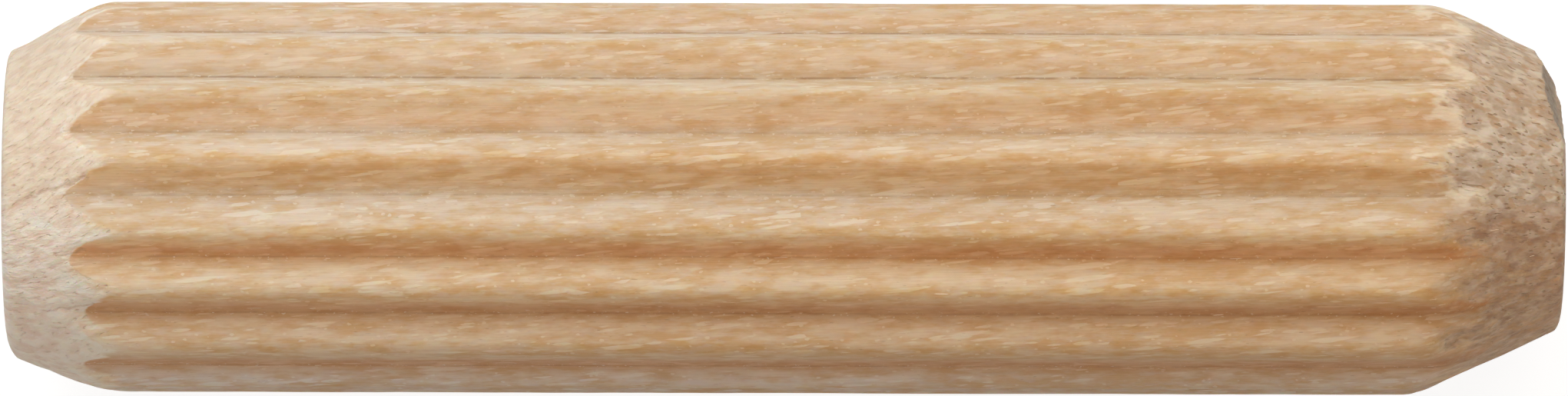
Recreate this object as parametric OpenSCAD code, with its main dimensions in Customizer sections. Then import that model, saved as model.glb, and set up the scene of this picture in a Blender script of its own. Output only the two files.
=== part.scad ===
// Fluted dowel pin for wood joints: one piece of turned hardwood, with flutes pressed along its
// whole length and a chamfer cut on each end.
// The pin lies along X with its middle at the origin. A flute points straight down, so that the
// pin rests on the two crests beside it.

/* [Pin] */
// Length over the two end faces
pin_length = 40; // [20:1:120]
// Diameter over the crests, a little more than the hole that the pin is driven into
pin_diameter = 10.1; // [8.1:0.5:16.1]

/* [Flutes] */
// Number of flutes around the pin
flute_count = 18; // [12:1:22]
// Depth of a flute below the crests
flute_depth = 0.4; // [0.2:0.02:0.5]
// Radius of the rounded top of a crest
crest_radius = 0.5; // [0.2:0.05:0.5]

/* [Chamfers] */
// Slope of the chamfer cutter against its own axis, in degrees
chamfer_slope = 24.5; // [15:0.5:32]

/* [Smooth end] */
// Length of the chamfer along the pin
smooth_chamfer_length = 2.4; // [1.5:0.1:4]
// Tilt of the chamfer in the horizontal plane, towards +Y, in degrees
smooth_chamfer_tilt = -4; // [-6:0.5:6]
// Shift of the chamfer on the end face, towards +Y
smooth_chamfer_shift = -0.33; // [-0.5:0.01:0.5]
// Radius of the soft shoulder where the chamfer starts
smooth_shoulder_radius = 4; // [1:0.5:10]
// Radius of the worn edge round the end face
smooth_rim_radius = 0.6; // [0.1:0.05:1]

/* [Rough end] */
// Length of the chamfer along the pin
rough_chamfer_length = 3.45; // [1.5:0.05:4]
// Tilt of the chamfer in the horizontal plane, towards +Y, in degrees
rough_chamfer_tilt = 0; // [-6:0.5:6]
// Shift of the chamfer on the end face, towards +Y
rough_chamfer_shift = 0.12; // [-0.5:0.01:0.5]
// Radius of the soft shoulder where the chamfer starts
rough_shoulder_radius = 3; // [1:0.5:10]
// Radius of the worn edge round the end face
rough_rim_radius = 0.5; // [0.1:0.05:0.8]

/* [Chip in the rough end] */
// Depth of the chip below the edge round the end face
chip_depth = 0.6; // [0.3:0.05:0.9]
// Radius of the hollow that the chip left
chip_radius = 7.5; // [5:0.5:20]
// Slope of the chip's floor against the end face, in degrees
chip_slope = 10; // [5:1:45]
// Place of the chip around the pin, in degrees from the top towards +Y
chip_turn = 80; // [0:5:355]

/* [Hidden] */
$fn = 96;
wood_colour = [0.85, 0.72, 0.56];

// A rounding stands this share of its radius proud of the sides that it joins, so that each
// side ends inside it and crosses it cleanly
rounding_proud = 0.002;
// The outlines of an end stay this far outside the crests and the end face, and so only cut
// the chamfer and round its edges
outline_clearance = 0.02;
// Degrees by which the rounding of a shoulder ends short of the slope of its chamfer
shoulder_slack = 2;

crest_r = pin_diameter / 2;
flute_pitch = 360 / flute_count;

// Place at a distance and an angle from the middle
function polar(distance, angle) = distance * [cos(angle), sin(angle)];

// Direction from one point to another
function toward(start, end) = (end - start) / norm(end - start);

// What a rounding of some radius takes off the corner between two others: what lies past the
// points where the rounding leaves the sides, less the rounding itself
module corner_waste(before, corner, after, radius) {
    one_side = toward(corner, before);
    other_side = toward(corner, after);
    half_angle = acos(one_side * other_side) / 2;
    setback = radius / tan(half_angle);
    middle = corner + toward([0, 0], one_side + other_side) * radius / sin(half_angle);
    difference() {
        polygon([corner + setback * one_side, 2 * corner - middle, corner + setback * other_side]);
        translate(middle)
            circle(r = radius * (1 + rounding_proud));
    }
}

// Closed outline with a rounding of its own radius at each corner that has one
module rounded_outline(corners, radii) {
    count = len(corners);
    difference() {
        polygon(corners);
        for (i = [0:count - 1])
            if (radii[i] > 0)
                corner_waste(
                    corners[(i + count - 1) % count], corners[i], corners[(i + 1) % count], radii[i]);
    }
}

// Section across the flutes: straight flanks rise from the bottom of each flute and run into
// the rounded crest on either side
module fluted_section() {
    valley_r = crest_r - flute_depth;
    rounding = crest_radius / (1 + rounding_proud);
    crest_middle = [crest_r - crest_radius, 0];
    from_crest = polar(valley_r, flute_pitch / 2) - crest_middle;
    flank_slope = atan2(from_crest.y, from_crest.x) - acos(rounding / norm(from_crest));
    flank_meeting_r = crest_middle.x + rounding / cos(flank_slope);
    rounded_outline(
        [for (i = [0:flute_count - 1]) each [
            polar(valley_r, i * flute_pitch),
            polar(flank_meeting_r, (i + 1 / 2) * flute_pitch)
        ]],
        [for (i = [0:flute_count - 1]) each [0, rounding]]);
}

// Round solid that only takes the sharp shoulder off the crests where a chamfer starts. It runs
// down from the end face at height 0, true to the pin, and past the shoulder it slopes a little
// less than the lowest side of the chamfer.
module worn_shoulder(length, tilt, radius) {
    slope = chamfer_slope - abs(tilt) - shoulder_slack;
    outer_r = crest_r + outline_clearance;
    rotate_extrude()
        rounded_outline(
            [
                [0, -2 * pin_length],
                [outer_r, -2 * pin_length],
                [outer_r, -length - outline_clearance / tan(slope)],
                [crest_r - (length + outline_clearance) * tan(slope), outline_clearance],
                [0, outline_clearance]
            ],
            [0, 0, radius, 0, 0]);
}

// Cone that the chamfer cutter leaves, with a worn edge at its top. The end face is at height 0.
// The cone stands off the pin's axis as the pin stood off the axis of the cutter.
module chamfer_cone(length, tilt, shift, rim_radius) {
    face_r = crest_r - length * tan(chamfer_slope);
    top = face_r * sin(abs(tilt)) + outline_clearance;
    base = 2 * pin_length;
    translate([0, shift, 0])
        rotate([-tilt, 0, 0])
            rotate_extrude()
                rounded_outline(
                    [
                        [0, -base],
                        [face_r + base * tan(chamfer_slope), -base],
                        [face_r - top * tan(chamfer_slope), top],
                        [0, top]
                    ],
                    [0, 0, rim_radius, 0]);
}

// Hollow where a flake broke out of the edge round the rough end face
module chip() {
    face_r = crest_r - rough_chamfer_length * tan(chamfer_slope);
    rotate(180 - chip_turn)
        translate([face_r, 0, pin_length / 2])
            rotate([0, chip_slope, 0])
                translate([0, 0, chip_radius - chip_depth])
                    sphere(r = chip_radius);
}

// What is left at one end: the shoulder and the chamfer together, with the end face half the
// pin's length up
module turned_end(length, tilt, shift, shoulder_radius, rim_radius) {
    translate([0, 0, pin_length / 2])
        intersection() {
            worn_shoulder(length, tilt, shoulder_radius);
            chamfer_cone(length, tilt, shift, rim_radius);
        }
}

// The pin: the fluted bar cut to length and turned at both ends, less the chip
module dowel_pin() {
    color(wood_colour)
        rotate([0, 90, 0])
            difference() {
                intersection() {
                    linear_extrude(height = pin_length, center = true)
                        fluted_section();
                    turned_end(rough_chamfer_length, rough_chamfer_tilt, rough_chamfer_shift,
                        rough_shoulder_radius, rough_rim_radius);
                    mirror([0, 0, 1])
                        turned_end(smooth_chamfer_length, smooth_chamfer_tilt,
                            smooth_chamfer_shift, smooth_shoulder_radius, smooth_rim_radius);
                }
                chip();
            }
}

dowel_pin();
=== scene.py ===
import math

import bpy
import numpy as np
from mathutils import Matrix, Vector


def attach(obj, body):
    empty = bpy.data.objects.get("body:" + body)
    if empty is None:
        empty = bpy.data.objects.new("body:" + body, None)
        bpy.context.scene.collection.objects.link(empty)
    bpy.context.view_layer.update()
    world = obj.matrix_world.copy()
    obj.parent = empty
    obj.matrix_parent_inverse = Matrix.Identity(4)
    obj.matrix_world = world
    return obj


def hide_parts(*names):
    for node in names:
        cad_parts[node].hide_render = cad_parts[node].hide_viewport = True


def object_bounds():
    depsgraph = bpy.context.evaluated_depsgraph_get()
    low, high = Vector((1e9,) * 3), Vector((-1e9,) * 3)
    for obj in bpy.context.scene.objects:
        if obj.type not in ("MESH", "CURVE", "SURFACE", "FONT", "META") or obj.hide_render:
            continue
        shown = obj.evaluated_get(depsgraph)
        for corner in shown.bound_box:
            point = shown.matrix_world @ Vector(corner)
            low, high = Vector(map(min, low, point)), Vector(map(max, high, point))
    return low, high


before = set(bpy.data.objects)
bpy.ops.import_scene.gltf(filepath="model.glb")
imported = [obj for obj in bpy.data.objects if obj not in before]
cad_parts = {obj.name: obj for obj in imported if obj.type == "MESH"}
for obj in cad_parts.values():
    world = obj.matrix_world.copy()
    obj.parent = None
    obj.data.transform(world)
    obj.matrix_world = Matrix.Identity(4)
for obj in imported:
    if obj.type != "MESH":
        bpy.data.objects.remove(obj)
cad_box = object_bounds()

# The dowel pin: one length of beech, rolled between toothed wheels that press its flutes in, then
# chamfered at both ends on a cone cutter. The cutter left one end smooth and slightly askew, and
# tore the fibres at the other, where flakes also broke out of the rim.

# Sizes in millimetres. The smooth end is the one at -X.
MM = 0.001
half_length = 20.0
crest_r = 5.05
flute_depth = 0.4
crest_rounding = 0.5
flute_count = 18

# Degrees from the top towards +Y of each flute, and of the crest that follows it
flute_angles = [0.9, 20.9, 41.0, 64.8, 83.0, 102.0, 121.0, 140.5, 160.0,
                180.0, 200.0, 219.5, 239.0, 257.5, 275.5, 294.3, 321.5, 341.4]
crest_angles = [11.5, 32.3, 52.2, 75.0, 92.5, 111.5, 130.7, 150.3, 170.0,
                190.0, 209.8, 229.3, 248.3, 266.5, 285.0, 309.6, 331.2, 349.8]

# Places across one flute, as shares of the pitch from its bottom, closer where the section turns
flute_shares = [0, 0.035, 0.09, 0.17, 0.25, 0.33, 0.385, 0.44,
                0.5, 0.56, 0.615, 0.67, 0.75, 0.83, 0.91, 0.965]

# Folds on the smooth chamfer: place along and degrees from the top where each starts and where it
# ends, depth
folds = [(-17.9, 40.0, -18.8, 41.4, 0.03), (-17.9, 21.6, -18.6, 21.0, 0.03),
         (-17.8, 5.8, -19.15, 0.5, 0.06), (-17.9, -15.6, -18.45, -19.4, 0.06),
         (-17.7, -34.5, -18.95, -41.5, 0.05)]
fold_width = 0.13

# Torn pockets on the rough chamfer: place along, degrees from the top, half sizes of each, depth
torn_pockets = [(17.15, 4.5, 0.75, 5.0, 0.15), (18.2, -7.0, 0.45, 4.0, 0.09),
                (17.6, 24.0, 0.5, 4.0, 0.08), (17.3, -52.0, 0.5, 5.0, 0.10),
                (17.4, 118.0, 0.7, 5.0, 0.12), (18.0, 205.0, 0.5, 6.0, 0.10)]

# The two shallow round hollows that broken flakes left in the rim: middle and radius of each
chips = [((27.78, 6.95, 0.54), 9.0), ((30.63, 6.84, 4.51), 12.0)]


def eased(value, low, high):
    """0 at low, 1 at high, and a smooth change between"""
    share = np.clip((value - low) / (high - low), 0, 1)
    return share * share * (3 - 2 * share)


def rough_field(along, around, cell_length, cells_around, seed):
    """Smooth random relief from -1 to 1, that closes round the pin"""
    cells_along = int(2 * half_length / cell_length) + 3
    table = np.random.default_rng(seed).uniform(-1, 1, (cells_along, cells_around))
    cell_x = (along + half_length) / cell_length
    cell_turn = around / 360 * cells_around
    row, column = np.floor(cell_x).astype(int), np.floor(cell_turn).astype(int)
    past_row, past_column = eased(cell_x - row, 0, 1), eased(cell_turn - column, 0, 1)
    column, next_column = column % cells_around, (column + 1) % cells_around
    here = table[row, column] * (1 - past_row) + table[row + 1, column] * past_row
    beside = table[row, next_column] * (1 - past_row) + table[row + 1, next_column] * past_row
    return here * (1 - past_column) + beside * past_column


def fluted_radius(share, bottom_width):
    """Radius of the section at a share of the pitch: a flank up from the blunt bottom of the flute,
    then the crest. The width of the bottom is in radians."""
    bottom_rise = 1.25
    half_pitch = math.pi / flute_count
    middle_r = crest_r - crest_rounding
    flute_y = (crest_r - flute_depth) * math.sin(half_pitch)
    flute_x = (crest_r - flute_depth) * math.cos(half_pitch) - middle_r
    flank_normal = math.atan2(flute_y, flute_x) - math.acos(
        crest_rounding / math.hypot(flute_x, flute_y))
    from_crest = np.abs(share - 0.5) * 2 * half_pitch
    flank = (middle_r * math.cos(flank_normal) + crest_rounding) \
        / np.cos(from_crest - flank_normal)
    rounding = middle_r * np.cos(from_crest) + np.sqrt(np.maximum(
        crest_rounding ** 2 - (middle_r * np.sin(from_crest)) ** 2, 0))
    rounding_end = math.atan2(crest_rounding * math.sin(flank_normal),
                              middle_r + crest_rounding * math.cos(flank_normal))
    section = np.where(from_crest < rounding_end, rounding, flank)
    in_bottom = np.clip(1 - (half_pitch - from_crest) / bottom_width, 0, 1)
    return section + bottom_rise * bottom_width * in_bottom ** 2


def chamfer_radius(from_end, face_r, slope, shoulder_radius, rim_radius):
    """Radii that a cone cutter leaves at a distance from the end face: the soft shoulder where it
    starts, the cone, and the worn rim round the face"""
    well_outside = 99.0
    slope = np.radians(slope)
    cone = face_r + from_end * np.tan(slope)
    corner = (crest_r - face_r) / np.tan(slope)
    setback = shoulder_radius * np.tan(slope / 2)
    past = corner - from_end + setback
    worn = crest_r - shoulder_radius + np.sqrt(
        np.maximum(shoulder_radius ** 2 - np.clip(past, 0, None) ** 2, 0))
    shoulder = np.where(past < setback * (1 + np.cos(slope)), worn, cone)
    rim_setback = rim_radius * np.tan((np.pi / 2 - slope) / 2)
    rim_end = rim_radius * (1 - np.sin(slope))
    rim = face_r - rim_setback + np.sqrt(
        np.maximum(rim_radius ** 2 - (rim_radius - np.minimum(from_end, rim_end)) ** 2, 0))
    return shoulder, cone, np.where(from_end < rim_end, rim, well_outside)


def softly_least(first, second, softness):
    """The smaller of two radii, with the edge between them worn"""
    least = np.minimum(first, second)
    return least - softness * np.log(
        np.exp(-(first - least) / softness) + np.exp(-(second - least) / softness))


# Stations along the pin, from one end face to the other, closer on the chamfers
rim_steps = [0, 0.006, 0.025, 0.06, 0.11, 0.17, 0.24, 0.31, 0.38]
stations = np.concatenate([
    [step - half_length for step in rim_steps],
    np.arange(-19.55, -16.2, 0.075),
    np.arange(-16.15, 15.7, 0.235),
    np.arange(15.8, 19.6, 0.055),
    [half_length - step for step in reversed(rim_steps)]])
turns = (np.arange(flute_count)[:, None] + flute_shares).ravel()
knot_angles = np.array([flute_angles, crest_angles]).T.ravel()
angles = np.interp(turns, np.arange(2 * flute_count + 1) / 2,
                   np.append(knot_angles, flute_angles[0] + 360))
along = np.repeat(stations[:, None], len(turns), axis=1)
share = np.repeat((turns % 1)[None], len(stations), axis=0)
around = np.repeat(angles[None], len(stations), axis=0)
flute_wander = 0.35
around = around + flute_wander * rough_field(along, around, cell_length=6.0, cells_around=9, seed=3)

# The pressed flutes: narrow bottoms, blunter low down on the -Y side, and fibres that stand
# unevenly along the shoulders of the crests
toward_y, toward_top = np.sin(np.radians(around)), np.cos(np.radians(around))
bottom_width = 0.028 + 0.040 * eased(toward_y, 0.1, -0.3) * eased(toward_top, -0.2, 0.1)
shank = fluted_radius(share, bottom_width)
from_flute = 1 - np.abs(share - 0.5) * 2
on_shoulder = eased(from_flute, 0.3, 0.65) * (1 - 0.8 * eased(from_flute, 0.8, 1.0))
for uneven_depth, cell_length, cells_around, seed in [
        (0.012 * on_shoulder, 1.3, 40, 11), (0.006, 1.4, 90, 12), (0.004, 0.5, 200, 13)]:
    shank = shank - uneven_depth * (1 + rough_field(along, around, cell_length, cells_around, seed))

# The two chamfers. The smooth one is askew, so its face, slope, shoulder and rim change from the
# -Y side to the +Y side.
smooth_shoulder, smooth_cone, smooth_rim = chamfer_radius(
    along + half_length, face_r=3.96 - 0.20 * toward_y, slope=24.5 + 4 * toward_y,
    shoulder_radius=4.2 - 1.7 * toward_y, rim_radius=0.58 - 0.22 * toward_y)
torn_shoulder, torn_cone, torn_rim = chamfer_radius(
    half_length - along, face_r=3.47 + 0.12 * toward_y, slope=26.0 + 0.4 * toward_y,
    shoulder_radius=3.0, rim_radius=0.5)

# The knife left low slanting ridges on the clean chamfer, and folds where it ran out of a flute
ridge_slant, ridge_depth, dimple_depth = 8.3, 0.034, 0.024
smooth_cone = smooth_cone - ridge_depth * (
    1 + rough_field(along, around - ridge_slant * along, cell_length=0.7, cells_around=84, seed=21))
smooth_cone = smooth_cone - dimple_depth * (
    1 + rough_field(along, around, cell_length=0.5, cells_around=60, seed=22))
chamfer_middle_r = 4.5
folded = np.zeros(along.shape)
for from_x, from_angle, to_x, to_angle, depth in folds:
    start = np.array([from_x, math.radians(from_angle) * chamfer_middle_r])
    whole = np.array([to_x, math.radians(to_angle) * chamfer_middle_r]) - start
    out_x = along - start[0]
    out_y = np.radians((around + 180) % 360 - 180) * chamfer_middle_r - start[1]
    run = np.clip((out_x * whole[0] + out_y * whole[1]) / (whole @ whole), 0, 1)
    away = np.hypot(out_x - run * whole[0], out_y - run * whole[1])
    folded = np.maximum(folded, depth * (1 - 0.6 * run) * np.exp(-(away / fold_width) ** 2))
smooth_cone = smooth_cone - folded

# Torn fibres on the rough chamfer: pits that run along the pin, ragged lips where the flutes end,
# a rim that stands and falls, and pockets
pit_slant, pit_depth, fine_pit_depth = 3, 0.055, 0.022
lip_depth, rim_rise = 0.030, 0.045
pits = eased(rough_field(along, around + pit_slant * along, cell_length=0.42, cells_around=130,
                         seed=31), 0.15, 0.9)
fine_pits = eased(rough_field(along, around + pit_slant * along, cell_length=0.20, cells_around=240,
                              seed=32), 0.1, 0.9)
ragged = rough_field(along, around, cell_length=0.35, cells_around=110, seed=34) \
    + rough_field(along, around, cell_length=0.9, cells_around=60, seed=35)
uneven_rim = rough_field(along, around, cell_length=0.7, cells_around=44, seed=36) - 0.6
torn_cone = torn_cone - pit_depth * pits - fine_pit_depth * fine_pits
torn_cone = torn_cone - lip_depth * (2 + ragged) * eased(along, 18.0, 16.8)
torn_cone = torn_cone + rim_rise * uneven_rim * eased(along, 19.6, 18.6)
for middle_x, middle_angle, half_long, half_wide, depth in torn_pockets:
    away = np.hypot((along - middle_x) / half_long,
                    ((around - middle_angle + 180) % 360 - 180) / half_wide)
    torn_cone = torn_cone - depth * eased(away + 0.25 * ragged, 1.0, 0.3)

# What is left of the rod after both cuts, and how far each cutter stayed outside the flutes
before_cut = np.minimum(np.minimum(shank, smooth_shoulder), torn_shoulder)
after_smooth_cut = softly_least(before_cut, smooth_cone, softness=0.03)
after_cut = softly_least(after_smooth_cut, torn_cone, softness=0.06)
radius = np.minimum(np.minimum(after_cut, smooth_rim), torn_rim)
uncut_margin = 0.5
smooth_margin = np.minimum(smooth_cone, smooth_shoulder) - shank \
    + uncut_margin * eased(along, -16.7, -15.6)
torn_margin = np.minimum(torn_cone, torn_shoulder) - shank \
    + uncut_margin * eased(along, 16.5, 15.4)
points = np.stack([along, radius * np.sin(np.radians(around)),
                   radius * np.cos(np.radians(around))], axis=-1)

# End faces: rings in to the middle
face_shares = [0.93, 0.84, 0.72, 0.58, 0.42, 0.26, 0.11]
left_rings = [points[0] * [1, s, s] for s in reversed(face_shares)]
right_rings = [points[-1] * [1, s, s] for s in face_shares]
rings = np.concatenate([np.array(left_rings), points, np.array(right_rings)])
ring_count, count_around = rings.shape[:2]

# Flakes broke out of the rim: whatever stands inside a hollow goes back to its floor
floor_roughness = 0.03
chip_border = 0.03
chipped = np.zeros((ring_count, count_around))
for number, (middle, hollow_radius) in enumerate(chips):
    from_hollow = rings - np.array(middle)
    reach = np.linalg.norm(from_hollow, axis=-1)
    hollow_floor = hollow_radius + floor_roughness * rough_field(
        rings[..., 0], around[:1], cell_length=0.25, cells_around=160, seed=41 + number)
    rings = np.array(middle) + from_hollow * (np.maximum(reach, hollow_floor) / reach)[..., None]
    chipped = np.maximum(chipped, eased(hollow_floor - reach, 0.0, chip_border))

# The skin: a band of squares between each ring and the next, and a fan that closes each end face
vertices = np.concatenate([rings.reshape(-1, 3), [[-half_length, 0, 0], [half_length, 0, 0]]])
ring, column = np.meshgrid(np.arange(ring_count - 1), np.arange(count_around), indexing="ij")
next_column = (column + 1) % count_around
squares = np.stack(
    [ring * count_around + column, (ring + 1) * count_around + column,
     (ring + 1) * count_around + next_column, ring * count_around + next_column], axis=-1)
faces = squares.reshape(-1, 4).tolist()
left_middle, right_middle = ring_count * count_around, ring_count * count_around + 1
last_ring = (ring_count - 1) * count_around
for column in range(count_around):
    next_column = (column + 1) % count_around
    faces.append([left_middle, column, next_column])
    faces.append([last_ring + column, right_middle, last_ring + next_column])
mesh = bpy.data.meshes.new("pin")
mesh.from_pydata((vertices * MM).tolist(), [], faces)
mesh.update()
for polygon in mesh.polygons:
    polygon.use_smooth = True


def over_rings(values, on_face):
    """A value at every ring, with a plain one on the end faces"""
    face = np.full((len(face_shares), count_around), on_face)
    return np.concatenate([face, values, face])


def give_values(name, values):
    """A value at every point of the skin, for the wood to read"""
    layer = mesh.attributes.new(name, "FLOAT", "POINT")
    with_middles = np.append(values.ravel(), [values[0, 0], values[-1, 0]])
    layer.data.foreach_set("value", with_middles.astype(np.float32))


give_values("smooth_margin",
            over_rings(np.clip(smooth_margin, -uncut_margin, uncut_margin), uncut_margin))
give_values("torn_margin",
            over_rings(np.clip(torn_margin, -uncut_margin, uncut_margin), uncut_margin))
give_values("end_face", over_rings(np.zeros(along.shape), 1.0))
give_values("chipped", chipped)

# A flat map of the pin: millimetres along it, and pitches around it from the flute at the top. It
# closes on the underside.
flat_map = mesh.uv_layers.new(name="flat_map")
point_x = np.repeat(rings[:, :1, 0], count_around, axis=1).ravel()
point_turn = np.tile((turns + flute_count / 2) % flute_count - flute_count / 2, ring_count)
corners = []
for polygon in mesh.polygons:
    on_rings = [point for point in polygon.vertices if point < len(point_turn)]
    turns_here = [point_turn[point] for point in on_rings]
    closes = max(turns_here) - min(turns_here) > flute_count / 2
    for point in polygon.vertices:
        if point in on_rings:
            past_seam = flute_count if closes and point_turn[point] < 0 else 0
            corners += [point_x[point], point_turn[point] + past_seam]
        else:
            corners += [point_x[on_rings[0]], max(turns_here)]
flat_map.data.foreach_set("uv", corners)

pin = bpy.data.objects.new("pin", mesh)
bpy.context.scene.collection.objects.link(pin)
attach(pin, "root")
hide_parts("dowel_pin")


def place(tree, kind, inputs=None, **settings):
    """A node of a kind, with its settings, and its inputs as values or as the sockets that feed
    them. A colour is written without its alpha."""
    made = tree.nodes.new(kind)
    for name, value in settings.items():
        setattr(made, name, value)
    for name, value in (inputs or {}).items():
        socket = made.inputs[name]
        if isinstance(value, bpy.types.NodeSocket):
            tree.links.new(value, socket)
        else:
            socket.default_value = (*value, 1) if socket.type == "RGBA" else value
    return made


def maths(tree, operation, a, b=0.0, clamp=False):
    return place(tree, "ShaderNodeMath", {0: a, 1: b}, operation=operation,
                 use_clamp=clamp).outputs[0]


def times(tree, *values):
    """The product of two or more values"""
    product = values[0]
    for value in values[1:]:
        product = maths(tree, "MULTIPLY", product, value)
    return product


def plus(tree, a, b):
    return maths(tree, "ADD", a, b)


def less(tree, a, b):
    return maths(tree, "SUBTRACT", a, b)


def eased_mask(tree, value, low, high, least=0.0, most=1.0):
    """From the least at low to the most at high, with a smooth change between"""
    return place(tree, "ShaderNodeMapRange", {
        "Value": value, "From Min": low, "From Max": high, "To Min": least, "To Max": most},
        interpolation_type="SMOOTHSTEP").outputs["Result"]


def tinted(tree, share, under, over, mode="MIX"):
    """One colour laid over another, with a share"""
    return place(tree, "ShaderNodeMix", {0: share, 6: under, 7: over}, data_type="RGBA",
                 blend_type=mode).outputs[2]


def shaded(tree, share, colour, shade):
    """A colour multiplied by another, with a share"""
    return tinted(tree, share, colour, shade, "MULTIPLY")


def stretched(tree, where, cell, lean):
    """A place measured in cells of so many millimetres along the pin and across it, that lean"""
    return place(tree, "ShaderNodeMapping", {
        "Vector": where, "Rotation": (0, 0, math.radians(lean)), "Scale": cell},
        vector_type="TEXTURE").outputs[0]


def stretched_noise(tree, where, cell, lean=0.0, detail=2.0, roughness=0.5):
    return place(tree, "ShaderNodeTexNoise", {
        "Vector": stretched(tree, where, cell, lean), "Scale": 1.0, "Detail": detail,
        "Roughness": roughness}).outputs["Fac"]


def slivers(tree, where, cell, lean, share, size):
    """Pale slivers scattered in cells of a size: only a share of the cells holds one"""
    laid = stretched(tree, where, cell, lean)
    ragged = place(tree, "ShaderNodeTexNoise", {
        "Vector": laid, "Scale": 3.0, "Detail": 2.0}).outputs["Fac"]
    cells = place(tree, "ShaderNodeTexVoronoi", {"Vector": laid, "Scale": 1.0})
    chosen = place(tree, "ShaderNodeSeparateXYZ", {0: cells.outputs["Color"]}).outputs["X"]
    reach = times(tree, less(tree, chosen, 1.0 - share), size / share)
    edge = plus(tree, cells.outputs["Distance"], times(tree, less(tree, ragged, 0.5), 0.5))
    return eased_mask(tree, less(tree, reach, edge), -0.04, 0.12)


def node_group(name, inputs, outputs):
    """A shader node group with named sockets, and its own entry and exit"""
    group = bpy.data.node_groups.new(name, "ShaderNodeTree")
    for socket, kind in inputs:
        group.interface.new_socket(socket, in_out="INPUT", socket_type=kind)
    for socket, kind in outputs:
        group.interface.new_socket(socket, in_out="OUTPUT", socket_type=kind)
    return group, group.nodes.new("NodeGroupInput"), group.nodes.new("NodeGroupOutput")


FLOAT, COLOUR, VECTOR = "NodeSocketFloat", "NodeSocketColor", "NodeSocketVector"

# Beech: tone in long drifts and short blotches, greyer where it is dusty, faint hairlines, pale
# flecks that lean across the grain, and dark pores
grain, entry, leave = node_group(
    "beech_grain",
    [("Place", VECTOR), ("Pale Wood", COLOUR), ("Deep Wood", COLOUR), ("Dusty Wood", COLOUR),
     ("Fleck", COLOUR)],
    [("Colour", COLOUR), ("Height", FLOAT)])
where = entry.outputs["Place"]
drift = stretched_noise(grain, where, (5.0, 0.9, 0.9), lean=2.0)
blotches = stretched_noise(grain, where, (0.9, 0.26, 0.26), lean=3.0, detail=3.0, roughness=0.6)
dusting = stretched_noise(grain, where, (0.7, 0.22, 0.22), detail=3.0, roughness=0.65)
hairlines = stretched_noise(grain, where, (1.2, 0.05, 0.05), lean=1.0, roughness=0.6)
pores = stretched_noise(grain, where, (0.25, 0.035, 0.035), lean=2.0, detail=1.0)
deep = plus(grain, times(grain, drift, 0.35), times(grain, blotches, 0.65))
colour = tinted(grain, eased_mask(grain, deep, 0.38, 0.62), entry.outputs["Pale Wood"],
                entry.outputs["Deep Wood"])
colour = tinted(grain, eased_mask(grain, dusting, 0.50, 0.66, most=0.45), colour,
                entry.outputs["Dusty Wood"])
hairline_shade, hairline_shine = (0.97, 0.95, 0.93), (1.02, 1.025, 1.03)
colour = shaded(grain, 1.0, colour, tinted(
    grain, eased_mask(grain, hairlines, 0.3, 0.7), hairline_shade, hairline_shine))
long_flecks = slivers(grain, where, (1.5, 0.15, 0.15), lean=7.0, share=0.30, size=0.58)
short_flecks = slivers(grain, where, (0.6, 0.11, 0.11), lean=6.0, share=0.32, size=0.58)
specks = slivers(grain, where, (0.15, 0.09, 0.09), lean=0.0, share=0.14, size=0.52)
fleck_mask = maths(grain, "MAXIMUM", times(grain, long_flecks, 0.9),
                   times(grain, short_flecks, 0.8))
fleck_mask = maths(grain, "MAXIMUM", fleck_mask, times(grain, specks, 0.7))
colour = tinted(grain, times(grain, fleck_mask, 0.9), colour, entry.outputs["Fleck"])
pore_mask, pore_brown = eased_mask(grain, pores, 0.72, 0.77), (0.38, 0.19, 0.08)
colour = tinted(grain, times(grain, pore_mask, 0.35), colour, pore_brown)
height = plus(grain, times(grain, hairlines, 0.3), times(grain, blotches, 0.5))
grain.links.new(colour, leave.inputs["Colour"])
grain.links.new(height, leave.inputs["Height"])

wood = bpy.data.materials.new("beech")
wood.use_nodes = True
tree = wood.node_tree
shader = tree.nodes["Principled BSDF"]
shader.inputs["Roughness"].default_value = 0.75
shader.inputs["Sheen Weight"].default_value = 0.15
shader.inputs["Sheen Roughness"].default_value = 0.5
shader.inputs["Subsurface Weight"].default_value = 0.4
shader.inputs["Subsurface Radius"].default_value = (1.2, 0.4, 0.12)
shader.inputs["Subsurface Scale"].default_value = MM


def millimetres(tree):
    """The place on the object, in millimetres"""
    return place(tree, "ShaderNodeVectorMath", {
        0: place(tree, "ShaderNodeTexCoord").outputs["Object"], 1: (1 / MM, 1 / MM, 1 / MM)},
        operation="MULTIPLY").outputs[0]


place_mm = millimetres(tree)
own_grain = place(tree, "ShaderNodeGroup", {
    "Place": place_mm, "Pale Wood": (0.90, 0.745, 0.575), "Deep Wood": (0.785, 0.54, 0.305),
    "Dusty Wood": (0.84, 0.71, 0.61), "Fleck": (0.96, 0.84, 0.69)}, node_tree=grain)
colour, height = own_grain.outputs["Colour"], own_grain.outputs["Height"]


def mesh_value(name):
    return place(tree, "ShaderNodeAttribute", attribute_name=name).outputs["Fac"]


# Where a point lies: across its flute, along and across the pin, and on the skin rolled out flat
pitch_mm = 1.75
flat = place(tree, "ShaderNodeSeparateXYZ", {
    0: place(tree, "ShaderNodeUVMap", uv_map="flat_map").outputs[0]})
pitch = maths(tree, "FRACT", flat.outputs["Y"])
from_bottom = maths(tree, "PINGPONG", pitch, 0.5)
unrolled = place(tree, "ShaderNodeCombineXYZ", {
    "X": flat.outputs["X"], "Y": times(tree, flat.outputs["Y"], pitch_mm)}).outputs[0]
own_x, own_y, own_z = place(tree, "ShaderNodeSeparateXYZ", {0: place_mm}).outputs
low_part = eased_mask(tree, own_y, 0.6, -0.6)

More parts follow.
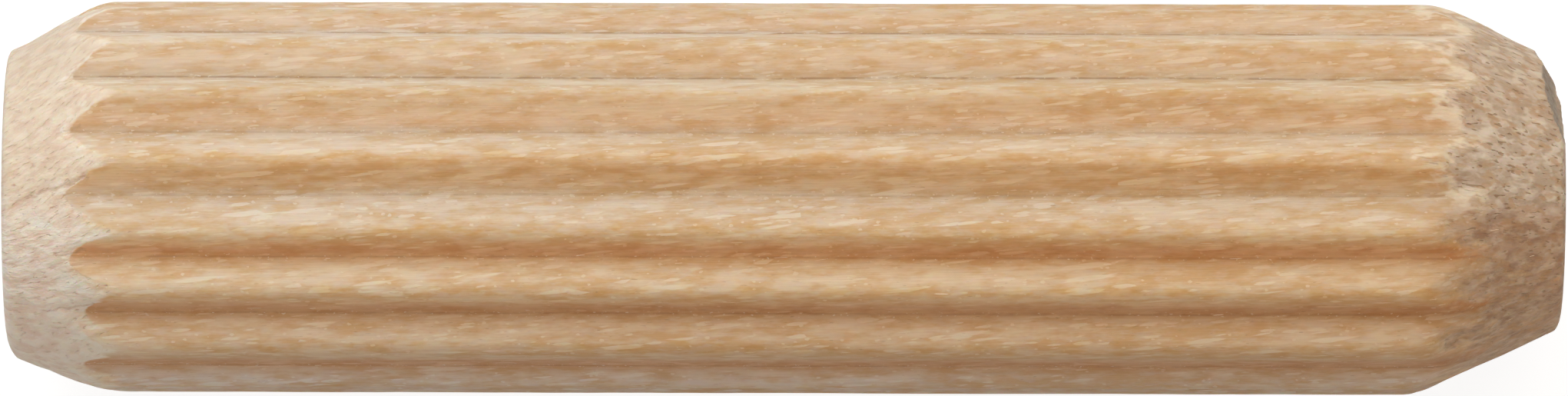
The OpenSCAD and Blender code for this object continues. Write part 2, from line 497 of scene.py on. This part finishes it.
# Which wood is torn, which is cleanly cut, and which is still as the wheels left it. The torn wood
# reaches further in on the -Y side and fades there.
tearing = less(tree, stretched_noise(
    tree, place_mm, (0.7, 0.24, 0.24), lean=-8.0, detail=3.0, roughness=0.65), 0.5)
torn_edge = plus(tree, mesh_value("torn_margin"), tearing)
torn_edge = plus(tree, torn_edge, plus(tree, eased_mask(tree, own_y, 0.6, -0.6, most=0.12),
                                       eased_mask(tree, own_y, -1.0, -1.8, most=0.14)))
torn = plus(tree, times(tree, eased_mask(tree, torn_edge, 0.14, -0.24), less(tree, 1.0, low_part)),
            times(tree, eased_mask(tree, torn_edge, 0.16, -0.45), low_part))
filled_flute = times(tree, eased_mask(tree, own_y, -2.0, -2.9, most=0.15),
                     eased_mask(tree, from_bottom, 0.40, 0.22))
smooth_edge = less(tree, plus(tree, mesh_value("smooth_margin"), times(tree, tearing, 0.08)),
                   filled_flute)
smooth_cut = eased_mask(tree, smooth_edge, 0.025, -0.025)
in_lee = eased_mask(tree, pitch, 0.52, 0.42)
fresh_wood = tinted(tree, in_lee, eased_mask(tree, smooth_edge, 0.10, -0.25), smooth_cut)
uncut = maths(tree, "SUBTRACT", 1.0, maths(tree, "MAXIMUM", torn, smooth_cut), clamp=True)

# Across a ridge, from the flute before it to the next: painted shade, darker in the flute bottoms
# and on the lee flank of each crest, which faces away from the lamps on top of the pin. On the -Y
# side, away from the key lamp, the painted shade is deeper and browner.
light_ridge_shade = [(0.00, (0.80, 0.74, 0.69)), (0.06, (0.78, 0.70, 0.64)), (0.14, (0.85, 0.76, 0.69)),
              (0.28, (0.86, 0.76, 0.64)), (0.38, (0.82, 0.72, 0.59)), (0.45, (0.83, 0.76, 0.67)),
              (0.53, (0.85, 0.80, 0.75)), (0.65, (0.87, 0.84, 0.81)), (0.80, (0.88, 0.86, 0.85)),
              (0.90, (0.86, 0.82, 0.81)), (1.00, (0.80, 0.74, 0.69))]
deep_ridge_shade = [(0.00, (0.80, 0.57, 0.39)), (0.06, (0.83, 0.59, 0.41)), (0.14, (0.88, 0.63, 0.45)),
               (0.21, (0.94, 0.74, 0.55)), (0.28, (1.00, 0.85, 0.66)), (0.37, (1.00, 0.91, 0.75)),
               (0.47, (1.00, 0.95, 0.85)), (0.58, (0.97, 0.94, 0.89)), (0.70, (0.95, 0.92, 0.90)),
               (0.80, (0.90, 0.84, 0.77)), (0.88, (0.86, 0.75, 0.65)), (0.95, (0.82, 0.65, 0.50)),
               (1.00, (0.80, 0.57, 0.39))]


def ramp(tree, value, stops):
    """Colours that run into one another as a value goes from 0 to 1"""
    made = place(tree, "ShaderNodeValToRGB", {"Fac": value})
    elements = made.color_ramp.elements
    for position, _ in stops[1:-1]:
        elements.new(position)
    for element, (position, tone) in zip(elements, stops):
        element.position = position
        element.color = (*tone, 1)
    return made.outputs["Color"]


# The scallops make the edge of that painted shade waver along the pin.
scallops = less(tree, stretched_noise(tree, unrolled, (0.8, 0.6, 1.0), detail=3.0, roughness=0.55),
                0.5)
waver = times(tree, scallops, 0.40, eased_mask(tree, from_bottom, 0.02, 0.3))
wavering_pitch = plus(tree, pitch, waver)
deep_shade_side = times(tree, eased_mask(tree, own_y, -0.1, -0.9), eased_mask(tree, own_y, -4.85, -4.6))
across_ridge = tinted(tree, deep_shade_side, ramp(tree, wavering_pitch, light_ridge_shade),
                      ramp(tree, wavering_pitch, deep_ridge_shade))
ridge_colour = shaded(tree, 1.0, colour, across_ridge)
gold_patches = stretched_noise(tree, unrolled, (0.7, 0.3, 1.0))
gold = times(tree, eased_mask(tree, wavering_pitch, 0.34, 0.46),
             eased_mask(tree, wavering_pitch, 0.62, 0.54),
             eased_mask(tree, gold_patches, 0.45, 0.62))
gold_tint = (0.96, 0.87, 0.66)
ridge_colour = shaded(tree, times(tree, gold, 0.8), ridge_colour, gold_tint)

# A thin broken line of dirt and painted shade along the bottom of each flute, with pale fibre ends
# in it
flute_dirt_and_shade, fibre_end_tone = (0.62, 0.48, 0.40), (0.86, 0.74, 0.60)
broken = stretched_noise(tree, unrolled, (0.7, 0.3, 1.0), detail=3.0, roughness=0.6)
crease = times(tree, eased_mask(tree, from_bottom, 0.035, 0.0),
               eased_mask(tree, broken, 0.35, 0.55),
               eased_mask(tree, own_y, 2.0, 2.6, least=0.35, most=0.85))
ridge_colour = shaded(tree, crease, ridge_colour, flute_dirt_and_shade)
fibre_ends = stretched_noise(tree, unrolled, (0.12, 0.07, 1.0), detail=1.0)
fuzz = times(tree, eased_mask(tree, from_bottom, 0.10, 0.03),
             eased_mask(tree, fibre_ends, 0.66, 0.72))
ridge_colour = tinted(tree, times(tree, fuzz, 0.6), ridge_colour, fibre_end_tone)
colour = tinted(tree, uncut, colour, ridge_colour)

# The wood itself: paler towards the smooth end, and in stripes from the -Y side to the +Y side,
# where its growth rings come to the surface. The stripes also hold painted sheen, bluer along both
# edges of the pin, and painted shade low on the -Y side. A ramp keeps its colours within 1, so the
# stripes are divided by their headroom on the way in and multiplied by it afterwards.
smooth_end_tone, torn_end_tone = (1.03, 1.07, 1.12), (0.985, 0.955, 0.90)
along_pin = eased_mask(tree, own_x, -19.0, 15.0)
colour = shaded(tree, 1.0, colour, tinted(tree, along_pin, smooth_end_tone, torn_end_tone))
stripes = [
    (0.00, (0.95, 1.00, 1.12)), (0.033, (0.92, 0.97, 1.12)), (0.066, (1.03, 1.01, 1.06)),
    (0.09, (0.82, 0.80, 0.84)), (0.13, (1.05, 1.01, 0.98)), (0.18, (1.10, 1.06, 1.04)),
    (0.213, (0.93, 0.88, 0.82)), (0.25, (1.00, 0.98, 0.98)), (0.35, (1.05, 1.00, 0.92)),
    (0.38, (1.04, 0.99, 0.91)), (0.41, (0.96, 0.95, 0.96)), (0.494, (0.97, 0.97, 0.98)),
    (0.52, (1.06, 1.04, 0.96)), (0.55, (1.02, 0.95, 0.80)), (0.595, (1.04, 1.00, 0.93)),
    (0.625, (1.00, 0.98, 0.97)), (0.655, (0.95, 0.93, 0.91)), (0.685, (1.06, 1.02, 0.97)),
    (0.73, (0.98, 0.96, 0.93)), (0.774, (0.96, 0.96, 0.95)), (0.82, (0.95, 0.94, 0.90)),
    (0.87, (1.01, 1.05, 1.13)), (0.92, (0.98, 0.99, 1.02)), (1.00, (0.95, 0.99, 1.10))]
headroom = 1.5
from_side = place(tree, "ShaderNodeMapRange", {
    "Value": own_y, "From Min": -5.0, "From Max": 5.0}).outputs["Result"]
stripe_and_light_tone = ramp(tree, from_side, [
    (position, [tone / headroom for tone in tones]) for position, tones in stripes])
stripe_and_light_tone = tinted(tree, uncut, (1 / headroom,) * 3, stripe_and_light_tone)
colour = shaded(tree, 1.0, shaded(tree, 1.0, colour, stripe_and_light_tone), (headroom,) * 3)

# The cleanly cut chamfer: paler and pinker, with short slanting marks of the cutter, pale fuzz
# where the flutes end, and the folds that lead out of them. Painted shade darkens the hollows of
# its low ridges, the folds and its +Y side, and painted light makes the ridge tops paler and its
# -Y side paler and bluer.
crease_line, entry, leave = node_group(
    "crease_line", [("Place", VECTOR), ("Start", VECTOR), ("End", VECTOR), ("Width", FLOAT)],
    [("Mask", FLOAT)])


def vector_maths(tree, operation, a, b, output="Vector"):
    return place(tree, "ShaderNodeVectorMath", {0: a, 1: b}, operation=operation).outputs[output]


def scaled(tree, vector, by):
    return place(tree, "ShaderNodeVectorMath", {0: vector, "Scale": by},
                 operation="SCALE").outputs[0]


whole = vector_maths(crease_line, "SUBTRACT", entry.outputs["End"], entry.outputs["Start"])
gone = vector_maths(crease_line, "SUBTRACT", entry.outputs["Place"], entry.outputs["Start"])
run = maths(crease_line, "DIVIDE", vector_maths(crease_line, "DOT_PRODUCT", gone, whole, "Value"),
            vector_maths(crease_line, "DOT_PRODUCT", whole, whole, "Value"), clamp=True)
away = vector_maths(crease_line, "DISTANCE", gone, scaled(crease_line, whole, run), "Value")
thinned = times(crease_line, entry.outputs["Width"],
                less(crease_line, 1.0, times(crease_line, run, 0.7)))
mask = maths(crease_line, "SUBTRACT", 1.0, maths(crease_line, "DIVIDE", away, thinned), clamp=True)
crease_line.links.new(mask, leave.inputs["Mask"])

shaken = place(tree, "ShaderNodeTexNoise", {"Vector": unrolled, "Scale": 4.0, "Detail": 3.0})
shaken_place = vector_maths(tree, "ADD", unrolled, scaled(
    tree, vector_maths(tree, "SUBTRACT", shaken.outputs["Color"], (0.5, 0.5, 0.5)), 0.22))


def creased(lines):
    """A mask along lines on the skin: place along and pitches from the top where each starts and
    ends, width"""
    mask = 0.0
    for start_x, start_turn, end_x, end_turn, width in lines:
        line = place(tree, "ShaderNodeGroup", {
            "Place": shaken_place, "Start": (start_x, start_turn * pitch_mm, 0),
            "End": (end_x, end_turn * pitch_mm, 0), "Width": width}, node_tree=crease_line)
        mask = maths(tree, "MAXIMUM", mask, line.outputs["Mask"])
    return mask


fold_shade_mask = creased([
    (-17.85, 1.93, -18.8, 2.02, 0.06), (-17.95, 1.06, -18.6, 1.0, 0.07),
    (-17.8, 0.25, -19.36, -0.06, 0.13), (-18.9, 0.05, -19.4, -0.12, 0.08),
    (-17.85, -0.85, -18.45, -1.03, 0.11), (-17.6, -1.80, -18.95, -2.12, 0.07)])
frayed_mask = creased([
    (-18.35, -1.42, -17.65, -1.52, 0.34), (-18.05, -2.36, -17.5, -2.50, 0.24),
    (-19.1, -0.40, -18.5, -0.55, 0.26)])

clean_hollow_shade, clean_top_light, mark_edge = (0.80, 0.62, 0.485), (0.885, 0.755, 0.61), (0.94, 0.84, 0.72)
clean_plus_y_shade, clean_minus_y_shade = (0.93, 0.91, 0.89), (1.14, 1.18, 1.29)
fuzz_tone, frayed_tone = (0.95, 0.87, 0.77), (0.97, 0.90, 0.81)
mark_brown, fold_shade_brown = (0.62, 0.43, 0.31), (0.46, 0.28, 0.16)
marks = stretched_noise(tree, unrolled, (0.24, 0.09, 1.0), lean=35.0)
mark_mask = times(tree, eased_mask(tree, marks, 0.58, 0.72), smooth_cut)
bumps = stretched_noise(tree, unrolled, (0.50, 0.30, 1.0), lean=32.0, detail=3.0)
# Painted shade in the hollows of the cutter's low ridges and painted light on their tops, from the
# noise that raises them.
clean_colour = tinted(tree, eased_mask(tree, bumps, 0.36, 0.62), clean_hollow_shade, clean_top_light)
clean_colour = tinted(tree, eased_mask(tree, marks, 0.42, 0.30, most=0.45), clean_colour,
                      mark_edge)
on_minus_y = eased_mask(tree, own_y, 0.4, -1.2)
# Painted shade on the +Y side, and paler, bluer painted light on the -Y side.
clean_colour = shaded(tree, eased_mask(tree, own_y, 2.5, 3.4), clean_colour, clean_plus_y_shade)
clean_colour = shaded(tree, on_minus_y, clean_colour, clean_minus_y_shade)
fuzzy = plus(tree, stretched_noise(tree, unrolled, (0.7, 0.45, 1.0), lean=20.0, detail=3.0,
                                   roughness=0.6), times(tree, on_minus_y, 0.06))
fuzzy = times(tree, eased_mask(tree, fuzzy, 0.48, 0.62),
              eased_mask(tree, mesh_value("smooth_margin"), -0.30, -0.12))
clean_colour = tinted(tree, times(tree, fuzzy, 0.8), clean_colour, fuzz_tone)
colour = tinted(tree, times(tree, fresh_wood, 0.9), colour, clean_colour)
colour = tinted(tree, times(tree, mark_mask, 0.40), colour, mark_brown)
colour = tinted(tree, eased_mask(tree, frayed_mask, 0.0, 0.6, most=0.65), colour, frayed_tone)
# Painted shade along the folds.
colour = tinted(tree, times(tree, fold_shade_mask, 0.5), colour, fold_shade_brown)

# The torn chamfer: beige on one side and brown on the other, with fissures, bruises and pale
# flakes, and pale lips where the flutes run out
brown_pale, brown_deep = (0.55, 0.34, 0.225), (0.40, 0.22, 0.13)
beige_pale, beige_deep = (0.72, 0.575, 0.455), (0.56, 0.405, 0.285)
flake_on_brown, flake_on_beige = (0.67, 0.49, 0.36), (0.82, 0.69, 0.55)
bruise_on_brown, bruise_on_beige = (0.48, 0.24, 0.10), (0.56, 0.33, 0.17)
fissure_brown, chip_hollow_shade, lip_tone = (0.33, 0.18, 0.08), (0.36, 0.28, 0.21), (0.92, 0.79, 0.62)
torn_plus_y_shade, near_torn_shade = (0.93, 0.88, 0.83), (0.92, 0.90, 0.89)
near_torn = times(tree, eased_mask(tree, own_x, 15.6, 17.2), low_part)
colour = shaded(tree, near_torn, colour, near_torn_shade)
side_waver = stretched_noise(tree, place_mm, (0.9, 0.6, 0.6), detail=3.0, roughness=0.6)
beige_side = eased_mask(tree, plus(tree, own_y, side_waver), -0.1, 0.7)
torn_tone = eased_mask(tree, stretched_noise(
    tree, place_mm, (0.8, 0.45, 0.45), lean=-3.0, detail=3.0, roughness=0.6), 0.38, 0.60)
flakes = stretched_noise(tree, place_mm, (0.60, 0.26, 0.26), lean=-6.0, roughness=0.42)
bruises = stretched_noise(tree, place_mm, (0.40, 0.20, 0.20), lean=-4.0, roughness=0.42)
fissures = stretched_noise(tree, place_mm, (0.85, 0.085, 0.085), lean=-7.0, detail=1.0,
                           roughness=0.45)
torn_colour = tinted(tree, beige_side, tinted(tree, torn_tone, brown_pale, brown_deep),
                     tinted(tree, torn_tone, beige_pale, beige_deep))
torn_colour = tinted(tree, eased_mask(tree, flakes, 0.50, 0.66, most=0.75), torn_colour,
                     tinted(tree, beige_side, flake_on_brown, flake_on_beige))
torn_colour = tinted(tree, eased_mask(tree, bruises, 0.52, 0.66, most=0.65), torn_colour,
                     tinted(tree, beige_side, bruise_on_brown, bruise_on_beige))
torn_colour = tinted(tree, eased_mask(tree, fissures, 0.635, 0.695, most=0.7), torn_colour,
                     fissure_brown)
torn_colour = shaded(tree, eased_mask(tree, own_y, 1.4, 2.4), torn_colour, torn_plus_y_shade)
torn_cover = times(tree, torn, less(tree, 0.95, times(tree, low_part, 0.05)))
colour = tinted(tree, torn_cover, colour, torn_colour)
lip = times(tree, eased_mask(tree, torn_edge, 0.30, 0.08),
            eased_mask(tree, torn_edge, -0.20, -0.02), eased_mask(tree, flakes, 0.42, 0.58),
            beige_side)
colour = tinted(tree, times(tree, lip, 0.55), colour, lip_tone)
# Painted shade in the hollows that the flakes left in the rim.
colour = tinted(tree, times(tree, mesh_value("chipped"), 0.85), colour, chip_hollow_shade)

# The end faces: sawn end grain, with growth rings round a pith far outside the pin, pale rays that
# point to it, and vessels between them
pith_y, pith_z, pith_reach = -9.0, 21.0, 23.0
growth_ring_width = 2.3
early_wood_tone, late_wood_tone = (0.66, 0.49, 0.34), (0.50, 0.34, 0.22)
vessel_brown, ray_tone = (0.36, 0.23, 0.14), (0.76, 0.60, 0.44)
from_pith = vector_maths(tree, "SUBTRACT", place(
    tree, "ShaderNodeCombineXYZ", {"X": own_y, "Y": own_z}).outputs[0], (pith_y, pith_z, 0.0))
pith_place = place(tree, "ShaderNodeSeparateXYZ", {0: from_pith})
pith_distance = vector_maths(tree, "LENGTH", from_pith, (0.0, 0.0, 0.0), "Value")
round_pith = times(tree, maths(tree, "ARCTAN2", pith_place.outputs["X"], pith_place.outputs["Y"]),
                   pith_reach)
cut_place = place(tree, "ShaderNodeCombineXYZ", {"X": pith_distance, "Y": round_pith}).outputs[0]
uneven = stretched_noise(tree, cut_place, (2.0, 2.5, 1.0), detail=1.0)
rings_passed = maths(tree, "FRACT", plus(
    tree, maths(tree, "DIVIDE", pith_distance, growth_ring_width), times(tree, uneven, 0.35)))
late_wood = times(tree, eased_mask(tree, rings_passed, 0.35, 0.93),
                  eased_mask(tree, rings_passed, 1.0, 0.95))
rays = eased_mask(tree, stretched_noise(tree, cut_place, (1.6, 0.11, 1.0), detail=1.0), 0.56, 0.70)
vessels = eased_mask(tree, stretched_noise(
    tree, cut_place, (0.10, 0.09, 1.0), detail=0.0, roughness=0.4), 0.50, 0.66)
end_grain = tinted(tree, late_wood, early_wood_tone, late_wood_tone)
end_grain = tinted(tree, times(tree, vessels, less(tree, 0.45, times(tree, late_wood, 0.3))),
                   end_grain, vessel_brown)
end_grain = tinted(tree, times(tree, rays, 0.55), end_grain, ray_tone)
colour = tinted(tree, times(tree, mesh_value("end_face"), 0.92), colour, end_grain)
tree.links.new(colour, shader.inputs["Base Color"])

# What is too fine for the skin: the lift of the grain, the torn wood and the cutter's marks
torn_height = less(tree, times(tree, less(tree, flakes, 0.5), 2.4),
                   times(tree, eased_mask(tree, fissures, 0.58, 0.74), 0.8))
torn_height = plus(tree, torn_height, times(tree, less(tree, bruises, 0.5), -1.4))
height = plus(tree, height, times(tree, torn, torn_height))
height = less(tree, height, times(tree, mark_mask, 0.8))
height = plus(tree, height, times(tree, smooth_cut, less(tree, bumps, 0.5), 4.0))
bump = place(tree, "ShaderNodeBump", {"Height": height, "Strength": 1.0, "Distance": 0.025 * MM})
tree.links.new(bump.outputs[0], shader.inputs["Normal"])
mesh.materials.append(wood)

# Loose fibres: slivers of the same beech that the wheels and the cutter raised, each still held in
# the surface by its underside, most of them along the flutes and on the torn end
fibre_count = 170
fibre_corners = 3
fibre_half_width = 0.022
lifted = np.random.default_rng(51)
fibre_points, fibre_faces = [], []
for fibre in range(fibre_count):
    on_torn_end = fibre % 4 == 0
    middle_x = lifted.uniform(16.2, 19.3) if on_torn_end else lifted.uniform(-17.5, 16.5)
    if on_torn_end or fibre % 4 == 1:
        column = lifted.integers(0, count_around)
    else:
        column = lifted.integers(0, flute_count) * len(flute_shares) + lifted.integers(-2, 3)
        column = column % count_around
    is_short = fibre % 3 or on_torn_end
    half_long = lifted.uniform(0.10, 0.22) if is_short else lifted.uniform(0.25, 0.42)
    lean = lifted.uniform(-0.02, 0.16)
    angle = math.radians(angles[column])
    across = np.array([0, math.cos(angle), -math.sin(angle)])
    outward = np.array([0, math.sin(angle), math.cos(angle)])
    spine = []
    for run in (-1, -0.4, 0.35, 1):
        fibre_x = middle_x + run * half_long
        surface_r = np.interp(fibre_x, stations, radius[:, column])
        spine.append(np.array([fibre_x, 0, 0]) + outward * (surface_r - 0.012 - 0.02 * run ** 2)
                     + across * run * half_long * lean)
    width = fibre_half_width * lifted.uniform(0.6, 1.2)
    first = len(fibre_points)
    fibre_points.append(spine[0])
    for middle in spine[1:3]:
        for corner in range(fibre_corners):
            turn = math.radians(90 + 360 / fibre_corners * corner)
            fibre_points.append(
                middle + width * (across * math.cos(turn) + outward * math.sin(turn) * 1.2))
    fibre_points.append(spine[3])
    near, far, last = first + 1, first + 1 + fibre_corners, first + 1 + 2 * fibre_corners
    for corner in range(fibre_corners):
        after = (corner + 1) % fibre_corners
        fibre_faces += [(first, near + corner, near + after),
                        (near + corner, far + corner, far + after, near + after),
                        (far + corner, last, far + after)]
fibre_mesh = bpy.data.meshes.new("loose_fibres")
fibre_mesh.from_pydata((np.array(fibre_points) * MM).tolist(), [], fibre_faces)
fibre_mesh.update()
loose_fibres = bpy.data.objects.new("loose_fibres", fibre_mesh)
bpy.context.scene.collection.objects.link(loose_fibres)
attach(loose_fibres, "root")

raised_wood = bpy.data.materials.new("raised_beech")
raised_wood.use_nodes = True
tree = raised_wood.node_tree
shader = tree.nodes["Principled BSDF"]
shader.inputs["Roughness"].default_value = 0.6
own_grain = place(tree, "ShaderNodeGroup", {
    "Place": millimetres(tree), "Pale Wood": (0.93, 0.81, 0.65), "Deep Wood": (0.88, 0.70, 0.50),
    "Dusty Wood": (0.90, 0.79, 0.67), "Fleck": (0.96, 0.86, 0.72)}, node_tree=grain)
tree.links.new(own_grain.outputs["Colour"], shader.inputs["Base Color"])
fibre_mesh.materials.append(raised_wood)

# The floor: a pale sheet under the pin. It is white to the camera and keeps the pin's shadow.
floor_half = 0.6
floor_z = cad_box[0].z
floor_mesh = bpy.data.meshes.new("floor")
floor_mesh.from_pydata(
    [(-floor_half, -floor_half, floor_z), (floor_half, -floor_half, floor_z),
     (floor_half, floor_half, floor_z), (-floor_half, floor_half, floor_z)],
    [], [(0, 1, 2, 3)])
floor = bpy.data.objects.new("floor", floor_mesh)
bpy.context.scene.collection.objects.link(floor)
paper = bpy.data.materials.new("paper")
paper.use_nodes = True
tree = paper.node_tree
tree.nodes.clear()
to_camera = place(tree, "ShaderNodeLightPath").outputs["Is Camera Ray"]
plain = place(tree, "ShaderNodeBsdfDiffuse", {"Color": (0.8, 0.8, 0.8)})
faint = place(tree, "ShaderNodeBsdfDiffuse", {"Color": (0.25, 0.25, 0.25)})
glow = place(tree, "ShaderNodeEmission", {"Strength": 0.88})
both = place(tree, "ShaderNodeAddShader", {0: faint.outputs[0], 1: glow.outputs[0]})
seen = place(tree, "ShaderNodeMixShader", {0: to_camera, 1: plain.outputs[0], 2: both.outputs[0]})
place(tree, "ShaderNodeOutputMaterial", {"Surface": seen.outputs[0]})
floor_mesh.materials.append(paper)

# The light: a broad lamp on the far side, one overhead and one to fill the near side, and a faint
# even glow all round
world = bpy.data.worlds.new("studio")
bpy.context.scene.world = world
world.use_nodes = True
tree = world.node_tree
tree.nodes.clear()
to_camera = place(tree, "ShaderNodeLightPath").outputs["Is Camera Ray"]
level = place(tree, "ShaderNodeMix", {0: to_camera, 2: 0.07, 3: 1.0})
tint = tinted(tree, to_camera, (1.0, 0.96, 0.90), (1.0, 1.0, 1.0))
sky = place(tree, "ShaderNodeBackground", {"Color": tint, "Strength": level.outputs[0]})
place(tree, "ShaderNodeOutputWorld", {"Surface": sky.outputs[0]})
for name, tilt, turn, spread, strength, lamp_colour in [
        ("key_lamp", 63, 25, 40, 1.42, (0.88, 0.95, 1.0)),
        ("overhead_lamp", 29, 0, 50, 1.45, (1.0, 0.93, 0.82)),
        ("fill_lamp", -42, 0, 60, 0.68, (1.0, 0.87, 0.74))]:
    lamp = bpy.data.lights.new(name, "SUN")
    lamp.energy = strength
    lamp.angle = math.radians(spread)
    lamp.color = lamp_colour
    lamp_object = bpy.data.objects.new(name, lamp)
    lamp_object.rotation_euler = (math.radians(-tilt), 0, math.radians(turn))
    bpy.context.scene.collection.objects.link(lamp_object)

# The camera, straight above the pin. Its long lens and its small turn lay the pin across the view
# from edge to edge.
camera_height, camera_shift, camera_turn = 0.350, 0.009 * MM, 0.148
camera = bpy.data.cameras.new("camera")
camera.sensor_width = 36
camera.lens = 311.35
camera.clip_start = 0.01
camera.clip_end = 10
camera_object = bpy.data.objects.new("camera", camera)
camera_object.location = (0, camera_shift, camera_height)
camera_object.rotation_euler = (0, 0, math.radians(camera_turn))
bpy.context.scene.collection.objects.link(camera_object)
bpy.context.scene.camera = camera_object
bpy.context.scene.view_settings.view_transform = "Standard"
